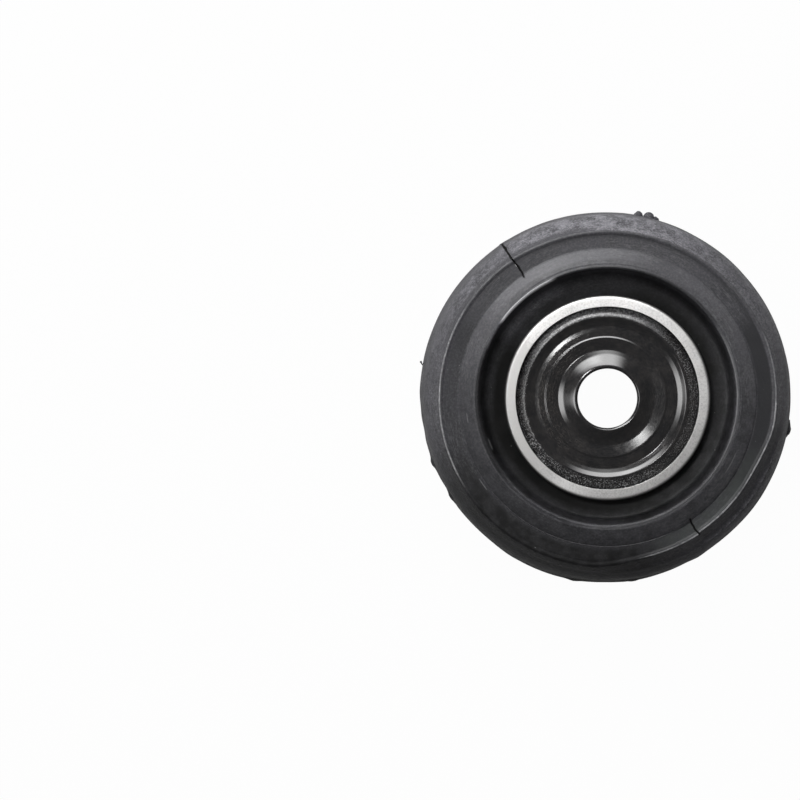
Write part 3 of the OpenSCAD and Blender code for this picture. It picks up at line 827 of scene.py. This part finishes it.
rim = times(tree, ramp(tree, radius, *coatSet["rim"]), upper)
middle = times(tree, band(tree, radius, *coatSet["middle"]), upper, sector(tree, turn, *coatSet["middleTurn"]))
grit = grainOf(tree, spot, coatSet["sandScale"], coatSet["sandDetail"])
sand = times(tree, rim, ramp(tree, grit, *coatSet["sandStep"]), spread(tree, skin["Blotches"], 0.9, 0.4))
# painted sheen on the rim's upper side, where the ring blocks the lamps
dry = times(tree, rim, sector(tree, turn, *coatSet["rimSheenTurn"]), spread(tree, skin["Grain"], 0.75, 0.2))
film = times(tree, upper, plus(tree, times(tree, skin["Blotches"], 0.12), times(tree, flecks["Grain"], 0.14)))
tone = mixColour(tree, under, coatSet["black"], coatSet["tar"])
for mask, colour in (
        (times(tree, rim, skin["Grain"], 0.16), "worn"),
        (times(tree, middle, flecks["Grain"], 0.22), "worn"),
        (dry, "dry"),
        (film, "worn"),
        # painted glints on the rough rim's grains, densest towards the lower left
        (times(tree, sand, spread(tree, sector(tree, turn, *coatSet["glintTurn"]), 0.5, 0.13)), "speck")):
    tone = mixColour(tree, mask, tone, coatSet[colour])
feed(tree, shader.inputs["Base Color"], tone)
shader.inputs["Specular IOR Level"].default_value = coatSet["specular"]
rough = plus(tree, times(tree, rim, 0.13), times(tree, skin["Blotches"], 0.03),
             times(tree, flecks["Grain"], 0.05), coatSet["roughness"])
feed(tree, shader.inputs["Roughness"], rough)
relief = plus(tree, times(tree, skin["Relief"], 0.0014), times(tree, sand, 0.06),
              times(tree, middle, flecks["Grain"], 0.006), times(tree, under, skin["Blotches"], 0.07))
addBump(tree, shader, relief)
print("coat mixed")

# bare turned steel, with the black coat and painted shade low on its outer wall, and painted shade on its inner
# wall and its outer edge
steelSet = {
    "bright": (0.86, 0.85, 0.84, 1), "dimSteel": (0.56, 0.553, 0.545, 1), "coatAndShade": (0.01, 0.01, 0.011, 1),
    "roughness": 0.51, "dullAndShade": ((0.95, 192, 24, 30), (0.45, 300, 30, 25), (0.35, 128, 22, 24)),
    "wallZ": (ringTop - 1.0, ringTop - 1.6), "innerWall": (ring["inR"] + 0.06, ring["inR"] + 0.02),
    "outerEdgeShade": (ring["outR"] - 0.75, ring["outR"] - 0.1), "edgeShare": 0.8, "turnMarks": (5.0, 3.0, 0.6),
}
steel, tree, shader, spot, polar = newMaterial("bareSteel")
turn = polar["Turn"]
skin = placed(tree, skinGrain, spot, Blotch=160.0, Fine=1800.0)
turnMarks = grainOf(tree, polar["Along"], *steelSet["turnMarks"])
# black coat with painted shade low on the outer wall, and painted shade on the inner wall
coatAndShade = calc(tree, "MAXIMUM", ramp(tree, polar["Height"], *steelSet["wallZ"]),
              ramp(tree, polar["Radius"], *steelSet["innerWall"]))
# dull steel tone at random, plus painted shade in sectors round the ring
dullAndShade = plus(tree, times(tree, skin["Blotches"], 0.25), times(tree, skin["Grain"], 0.5),
              *sectors(tree, turn, steelSet["dullAndShade"]))
# painted shade on the rounded outer edge of the face
outerEdgeShade = times(tree, ramp(tree, polar["Radius"], *steelSet["outerEdgeShade"]), steelSet["edgeShare"])
tone = mixColour(tree, dullAndShade, steelSet["bright"], steelSet["dimSteel"])
tone = mixColour(tree, outerEdgeShade, tone, steelSet["coatAndShade"])
tone = mixColour(tree, coatAndShade, tone, steelSet["coatAndShade"])
feed(tree, shader.inputs["Base Color"], tone)
feed(tree, shader.inputs["Metallic"], minus(tree, 1.0, coatAndShade))
feed(tree, shader.inputs["Roughness"], spread(tree, skin["Grain"], 0.08, steelSet["roughness"]))
addBump(tree, shader, plus(tree, times(tree, turnMarks, 0.002), times(tree, skin["Grain"], 0.003)))
print("steel mixed")

for piece, material, node, slotName in ((rubberBell, rubber, "rubber_body", "rubber"),
                                        (centrePlate, coat, "centre_plate", "coated_steel"),
                                        (seatRing, steel, "seat_ring", "bare_steel")):
    piece.data.materials.clear()
    piece.data.materials.append(material)
    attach(piece, "root")
    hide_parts(node)

# floor, world and lamps
stageSet = {"half": 3.0, "floor": (0.45, 0.45, 0.45, 1), "roughness": 0.9, "glow": 0.975, "glossyShare": 0.12,
            "world": 0.09}
bm = bmesh.new()
bmesh.ops.create_grid(bm, x_segments=2, y_segments=2, size=stageSet["half"])
floor = asObject("floor", bm)
paper = bpy.data.materials.new("floorPaper")
paper.use_nodes = True
tree = paper.node_tree
shader = tree.nodes["Principled BSDF"]
shader.inputs["Base Color"].default_value = stageSet["floor"]
shader.inputs["Roughness"].default_value = stageSet["roughness"]
seen = addNode(tree, "ShaderNodeLightPath").outputs
glow = addNode(tree, "ShaderNodeEmission")
glow.inputs["Color"].default_value = white
glow.inputs["Strength"].default_value = 1.0
watched = calc(tree, "MAXIMUM", calc(tree, "MAXIMUM", seen["Is Camera Ray"], seen["Is Transmission Ray"]),
               times(tree, seen["Is Glossy Ray"], stageSet["glossyShare"]))
blendIn = addNode(tree, "ShaderNodeMixShader")
feed(tree, blendIn.inputs[0], times(tree, watched, stageSet["glow"]))
tree.links.new(shader.outputs[0], blendIn.inputs[1])
tree.links.new(glow.outputs[0], blendIn.inputs[2])
tree.links.new(blendIn.outputs[0], tree.nodes["Material Output"].inputs["Surface"])
floor.data.materials.append(paper)

world = bpy.data.worlds.new("studio")
world.use_nodes = True
bpy.context.scene.world = world
tree = world.node_tree
back = tree.nodes["Background"]
back.inputs["Color"].default_value = white
seen = addNode(tree, "ShaderNodeLightPath").outputs
feed(tree, back.inputs["Strength"], ramp(tree, seen["Is Camera Ray"], 0.0, 1.0, stageSet["world"], 1.0))

lamps = {  # azimuth, tilt from the zenith, distance in m, size in m, power in W
    "keyBox": (129.5, 21.5, 1.0, 0.23, 5.2), "leftBox": (187, 34, 1.0, 0.6, 5.6),
    "topBox": (88, 50, 1.0, 0.9, 14.8), "sideBox": (118, 62, 1.0, 0.96, 27.0),
}
lampMiddle, lampFade = (0.5, 0.5, 0), (0.5, 0.12)  # brightest at its middle, as a soft box is
for name, (azimuth, tilt, distance, size, power) in lamps.items():
    lamp = bpy.data.lights.new(name, "AREA")
    lamp.size = size
    lamp.energy = power
    lamp.use_nodes = True
    tree = lamp.node_tree
    across = addNode(tree, "ShaderNodeVectorMath", operation="DISTANCE")
    feed(tree, across.inputs[0], addNode(tree, "ShaderNodeNewGeometry").outputs["Parametric"])
    across.inputs[1].default_value = lampMiddle
    feed(tree, tree.nodes["Emission"].inputs["Strength"], ramp(tree, across.outputs["Value"], *lampFade))
    lampObject = bpy.data.objects.new(name, lamp)
    a, t = math.radians(azimuth), math.radians(tilt)
    lampObject.location = Vector((math.sin(t) * math.cos(a), math.sin(t) * math.sin(a), math.cos(t))) * distance
    lampObject.rotation_mode = "QUATERNION"
    lampObject.rotation_quaternion = lampObject.location.to_track_quat("Z", "Y")
    bpy.context.scene.collection.objects.link(lampObject)
bpy.context.scene.view_settings.view_transform = "Standard"
print("stage lit")
